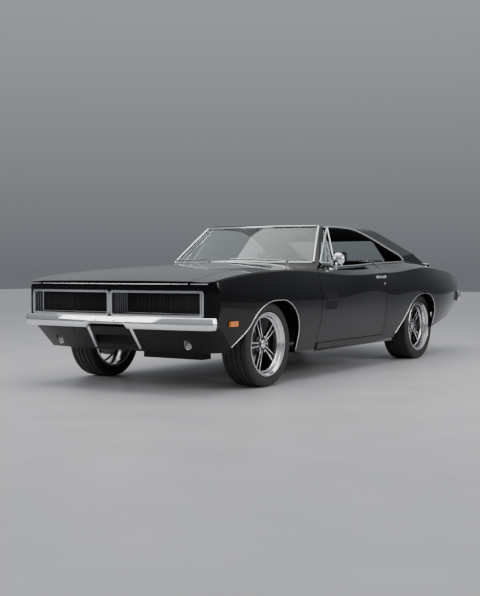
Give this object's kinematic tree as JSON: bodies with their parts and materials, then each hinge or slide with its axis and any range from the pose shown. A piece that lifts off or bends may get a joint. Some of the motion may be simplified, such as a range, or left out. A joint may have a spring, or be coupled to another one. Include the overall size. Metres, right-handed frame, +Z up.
{
  "type": "muscle car, two-door fastback hardtop",
  "caption": "Low black two-door fastback car with a full-width recessed grille, long hood, chrome bumpers, pillarless side windows and wide alloy wheels.",
  "frame": {"origin": "on the floor under the middle of the car, halfway between the bumper faces", "axes": "+Z up; the nose points to -Y; +X is the driver's (left) side"},
  "size_m": [1.925, 5.2, 1.345],
  "materials": {
    "black_paint": "gloss",
    "chrome": "polished",
    "brushed_trim": "brushed",
    "glass": "clear",
    "tyre_rubber": "matte",
    "wheel_alloy": "machined",
    "underbody_black": "satin",
    "cast_iron": "matte",
    "exhaust_steel": "satin",
    "grille_black": "satin",
    "amber_lens": "gloss",
    "red_lens": "gloss",
    "lamp_glass": "clear",
    "black_vinyl": "grained",
    "dash_plastic": "grained",
    "steering_plastic": "satin"
  },
  "bodies": {
    "body": {"floor_pan": "underbody_black", "front_frame": "underbody_black", "cowl": "black_paint", "fender_left": "black_paint", "fender_right": "black_paint", "quarter_left": "black_paint", "quarter_right": "black_paint", "deck_panel": "black_paint", "tail_panel": "black_paint", "roof": "black_paint", "windshield": "glass", "rear_window": "glass", "front_bumper": "chrome", "rear_bumper": "chrome", "fascia": "black_paint", "grille_surround": "chrome", "grille": "grille_black", "headlamps": "lamp_glass", "front_valance": "black_paint", "marker_lamps": "amber_lens", "parking_lamps": "lamp_glass", "tail_lamps": "red_lens", "engine_block": "cast_iron", "driveline": "cast_iron", "exhaust": "exhaust_steel", "fuel_tank": "exhaust_steel", "front_suspension": "underbody_black", "rear_axle": "cast_iron", "dashboard": "dash_plastic", "front_seat_left": "black_vinyl", "front_seat_right": "black_vinyl", "rear_bench": "black_vinyl"},
    "hood": {"hood": "black_paint"},
    "trunk_lid": {"trunk_lid": "black_paint"},
    "door_left": {"door_left": "black_paint", "vent_window_left": "glass", "door_mirror": "chrome"},
    "door_right": {"door_right": "black_paint", "vent_window_right": "glass"},
    "fuel_cap": {"fuel_cap": "chrome"},
    "headlamp_door_left": {"headlamp_door_left": "grille_black"},
    "headlamp_door_right": {"headlamp_door_right": "grille_black"},
    "knuckle_left": {"knuckle_left": "cast_iron"},
    "knuckle_right": {"knuckle_right": "cast_iron"},
    "wheel_front_left": {"wheel_front_left": "wheel_alloy", "tyre_front_left": "tyre_rubber"},
    "wheel_front_right": {"wheel_front_right": "wheel_alloy", "tyre_front_right": "tyre_rubber"},
    "wheel_rear_left": {"wheel_rear_left": "wheel_alloy", "tyre_rear_left": "tyre_rubber"},
    "wheel_rear_right": {"wheel_rear_right": "wheel_alloy", "tyre_rear_right": "tyre_rubber"},
    "steering_wheel": {"steering_wheel": "steering_plastic"}
  },
  "joints": [
    {"name": "steer_left", "type": "hinge", "parent": "body", "child": "knuckle_left", "pos_m": [0.69, -1.696, 0.332], "axis": [0, 0, 1], "range_deg": [-30, 30]},
    {"name": "steer_right", "type": "hinge", "parent": "body", "child": "knuckle_right", "pos_m": [-0.69, -1.696, 0.332], "axis": [0, 0, 1], "range_deg": [-30, 30]},
    {"name": "steering_wheel_turn", "type": "hinge", "parent": "body", "child": "steering_wheel", "pos_m": [0.37, -0.33, 0.85], "axis": [0, 0.9135, 0.4067], "range_deg": [-480, 480]},
    {"name": "spin_front_left", "type": "hinge", "parent": "knuckle_left", "child": "wheel_front_left", "pos_m": [0.774, -1.696, 0.332], "axis": [1, 0, 0], "continuous": true},
    {"name": "spin_front_right", "type": "hinge", "parent": "knuckle_right", "child": "wheel_front_right", "pos_m": [-0.774, -1.696, 0.332], "axis": [1, 0, 0], "continuous": true},
    {"name": "spin_rear_left", "type": "hinge", "parent": "body", "child": "wheel_rear_left", "pos_m": [0.737, 1.276, 0.336], "axis": [1, 0, 0], "continuous": true},
    {"name": "spin_rear_right", "type": "hinge", "parent": "body", "child": "wheel_rear_right", "pos_m": [-0.737, 1.276, 0.336], "axis": [1, 0, 0], "continuous": true},
    {"name": "door_left_open", "type": "hinge", "parent": "body", "child": "door_left", "pos_m": [0.885, -0.89, 0.6], "axis": [0, 0, -1], "range_deg": [0, 65]},
    {"name": "door_right_open", "type": "hinge", "parent": "body", "child": "door_right", "pos_m": [-0.885, -0.89, 0.6], "axis": [0, 0, 1], "range_deg": [0, 65]},
    {"name": "hood_open", "type": "hinge", "parent": "body", "child": "hood", "pos_m": [0, -1.013, 0.988], "axis": [-1, 0, 0], "range_deg": [0, 50]},
    {"name": "trunk_open", "type": "hinge", "parent": "body", "child": "trunk_lid", "pos_m": [0, 1.643, 0.975], "axis": [1, 0, 0], "range_deg": [0, 70]},
    {"name": "fuel_cap_flip", "type": "hinge", "parent": "body", "child": "fuel_cap", "pos_m": [0.8, 1.5415, 0.9606], "axis": [1, 0, 0], "range_deg": [0, 100]},
    {"name": "headlamp_door_left_roll", "type": "hinge", "parent": "body", "child": "headlamp_door_left", "pos_m": [0.623, -2.312, 0.667], "axis": [-1, 0, 0], "range_deg": [0, 88]},
    {"name": "headlamp_door_right_roll", "type": "hinge", "parent": "body", "child": "headlamp_door_right", "pos_m": [-0.623, -2.312, 0.667], "axis": [-1, 0, 0], "range_deg": [0, 88]}
  ],
  "couplings": [
    {"joint": "steer_right", "follows": "steer_left", "ratio": 1},
    {"joint": "steering_wheel_turn", "follows": "steer_left", "ratio": 16},
    {"joint": "headlamp_door_right_roll", "follows": "headlamp_door_left_roll", "ratio": 1}
  ]
}
